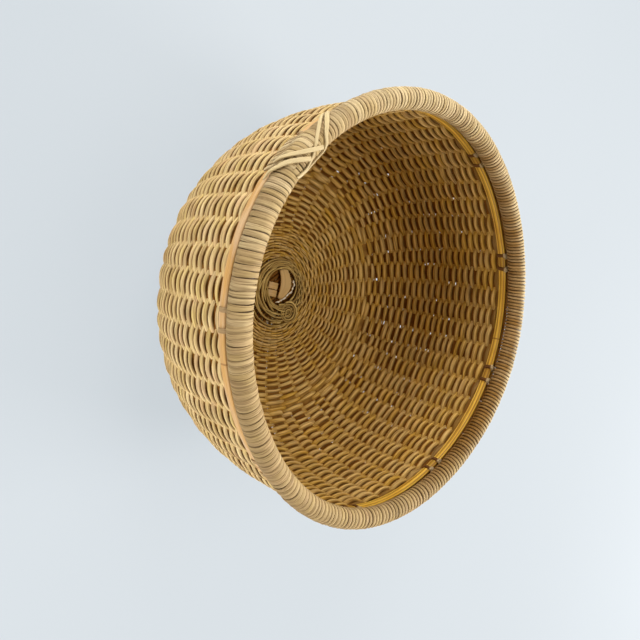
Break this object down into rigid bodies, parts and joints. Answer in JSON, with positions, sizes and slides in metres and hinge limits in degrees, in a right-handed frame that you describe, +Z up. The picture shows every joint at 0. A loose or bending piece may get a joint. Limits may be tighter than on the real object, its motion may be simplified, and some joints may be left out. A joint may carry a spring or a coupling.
{
  "type": "woven bowl basket",
  "caption": "Deep round-bottomed bowl basket of grass strands woven over upright stakes, with cane hoops lashed inside and outside under a thick wrapped rim.",
  "frame": {"origin": "centre of the flat underside", "axes": "+Z up along the bowl's axis and out of its opening, +X and +Y in the plane that it stands on, with the rim's crossed binding towards -X -Y"},
  "size_m": [0.2682, 0.2682, 0.1417],
  "materials": {
    "weave_outside": "dry split-grass strand, pale straw, matt with a faint sheen along the fibre",
    "weave_inside": "dry split-grass strand, golden brown, matt",
    "stake_cane": "split cane stake, dry and matt",
    "base_strand": "fine grass strand, golden brown, matt",
    "base_strip": "flat split-cane strip, satin",
    "rim_core": "bundled stake ends, dry and matt",
    "rim_wrap": "narrow wrapped strand, pale beige straw, matt",
    "rim_binding": "binding strand, pale beige straw, matt",
    "hoop_outside": "flat cane hoop, pale orange tan, satin skin",
    "hoop_inside": "flat cane hoop, golden yellow, satin skin",
    "lashing": "brown binding strand, matt"
  },
  "bodies": {
    "root": {"base_rod_01": "stake_cane", "base_rod_02": "stake_cane", "base_rod_03": "stake_cane", "base_rod_04": "stake_cane", "base_rod_05": "stake_cane", "base_rod_06": "stake_cane", "base_rod_07": "stake_cane", "base_rod_08": "stake_cane", "base_rod_09": "stake_cane", "base_rod_10": "stake_cane", "base_rod_11": "stake_cane", "base_rod_12": "stake_cane", "base_rod_13": "stake_cane", "base_rod_14": "stake_cane", "base_rod_15": "stake_cane", "base_rod_16": "stake_cane", "base_rod_17": "stake_cane", "base_rod_18": "stake_cane", "added_stake_01": "stake_cane", "added_stake_02": "stake_cane", "added_stake_03": "stake_cane", "added_stake_04": "stake_cane", "added_stake_05": "stake_cane", "added_stake_06": "stake_cane", "added_stake_07": "stake_cane", "added_stake_08": "stake_cane", "added_stake_09": "stake_cane", "added_stake_10": "stake_cane", "added_stake_11": "stake_cane", "added_stake_12": "stake_cane", "added_stake_13": "stake_cane", "added_stake_14": "stake_cane", "added_stake_15": "stake_cane", "added_stake_16": "stake_cane", "added_stake_17": "stake_cane", "added_stake_18": "stake_cane", "added_stake_19": "stake_cane", "outer_weave": "weave_outside", "inner_weave": "weave_inside", "base_coil": "base_strand", "base_tuck_strip": "base_strip", "rim_core": "rim_core", "rim_wrap_1": "rim_wrap", "rim_wrap_2": "rim_wrap", "rim_wrap_3": "rim_wrap", "rim_wrap_4": "rim_wrap", "rim_wrap_5": "rim_wrap", "rim_cross_1": "rim_binding", "rim_cross_2": "rim_binding", "outer_hoop": "hoop_outside", "inner_hoop": "hoop_inside", "hoop_lashing_1": "lashing", "hoop_lashing_2": "lashing", "hoop_lashing_3": "lashing", "hoop_lashing_4": "lashing", "hoop_lashing_5": "lashing", "hoop_lashing_6": "lashing", "hoop_lashing_7": "lashing", "hoop_lashing_8": "lashing", "hoop_lashing_9": "lashing"}
  },
  "joints": []
}
